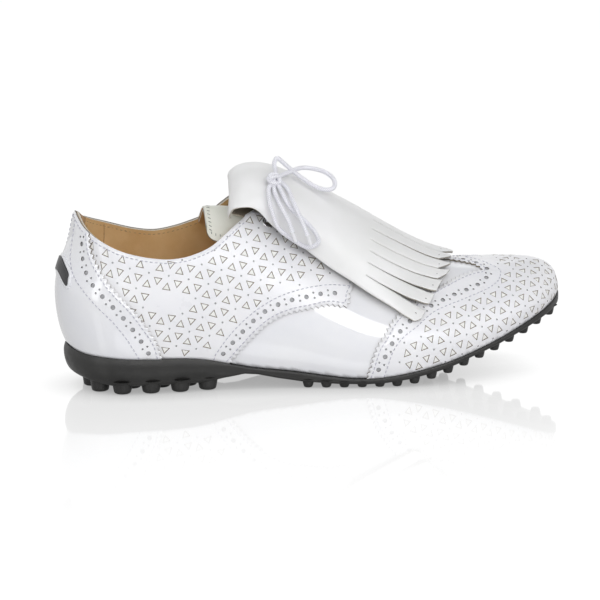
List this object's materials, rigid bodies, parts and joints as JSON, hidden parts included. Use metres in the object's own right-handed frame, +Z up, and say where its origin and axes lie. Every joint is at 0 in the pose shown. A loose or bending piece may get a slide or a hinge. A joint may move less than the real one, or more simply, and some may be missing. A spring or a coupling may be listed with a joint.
{
  "type": "golf shoe",
  "caption": "Low lace-up golf shoe for the right foot: perforated leather upper, fringed kiltie over the laces, cord bow, studded rubber sole.",
  "frame": {"origin": "middle of the ground face of the central heel stud", "axes": "+X towards the toe, +Y towards the inner (medial) side of the right foot, +Z up"},
  "size_m": [0.2687, 0.0899, 0.1167],
  "materials": {
    "black_leather": "smooth",
    "board": "compressed fibre board",
    "cord": "round braided cotton",
    "cork": "granulated cork",
    "eyelet_metal": "rolled",
    "foam": "open foam",
    "lining_cloth": "twill",
    "rubber": "satin, moulded",
    "steel": "sprung strip",
    "stiffener": "resin-stiffened fibre",
    "suede": "suede heel grip",
    "tan_leather": "smooth calf lining",
    "tip_plastic": "clear over cord",
    "white_leather": "glossy patent"
  },
  "bodies": {
    "shoe": {"outsole": "rubber", "bottom_filler": "cork", "insole_board": "board", "sock_liner": "tan_leather", "heel_pad": "foam", "shank": "steel", "heel_stiffener": "stiffener", "toe_puff": "stiffener", "heel_grip_lining": "suede", "lateral_quarter_lining": "tan_leather", "medial_quarter_lining": "tan_leather", "vamp_lining": "lining_cloth", "vamp": "white_leather", "toe_cap": "white_leather", "lateral_quarter": "white_leather", "medial_quarter": "white_leather", "heel_counter": "white_leather", "heel_tab": "black_leather", "kiltie_fold": "white_leather", "lace_bar_1": "cord", "eyelet_lateral_1": "eyelet_metal", "eyelet_medial_1": "eyelet_metal", "lace_bar_2": "cord", "eyelet_lateral_2": "eyelet_metal", "eyelet_medial_2": "eyelet_metal", "lace_bar_3": "cord", "eyelet_lateral_3": "eyelet_metal", "eyelet_medial_3": "eyelet_metal", "lace_bar_4": "cord", "eyelet_lateral_4": "eyelet_metal", "eyelet_medial_4": "eyelet_metal"},
    "tongue": {"tongue": "white_leather", "tongue_lining": "tan_leather"},
    "kiltie": {"kiltie_flap": "white_leather", "lace_knot": "cord"},
    "bow": {"bow_loop_front": "cord", "bow_loop_side": "cord", "lace_tail_1": "cord", "lace_tail_2": "cord", "lace_tip_1": "tip_plastic", "lace_tip_2": "tip_plastic"}
  },
  "joints": [
    {"name": "tongue_press", "type": "hinge", "parent": "shoe", "child": "tongue", "pos_m": [0.121, 0, 0.063], "axis": [0, -1, 0], "range_deg": [0, 10]},
    {"name": "kiltie_lift", "type": "hinge", "parent": "shoe", "child": "kiltie", "pos_m": [0.0738, 0, 0.1061], "axis": [0, -1, 0], "range_deg": [0, 35]},
    {"name": "bow_lift", "type": "hinge", "parent": "kiltie", "child": "bow", "pos_m": [0.0738, -0.0202, 0.1061], "axis": [0, -1, 0], "range_deg": [0, 30]}
  ]
}
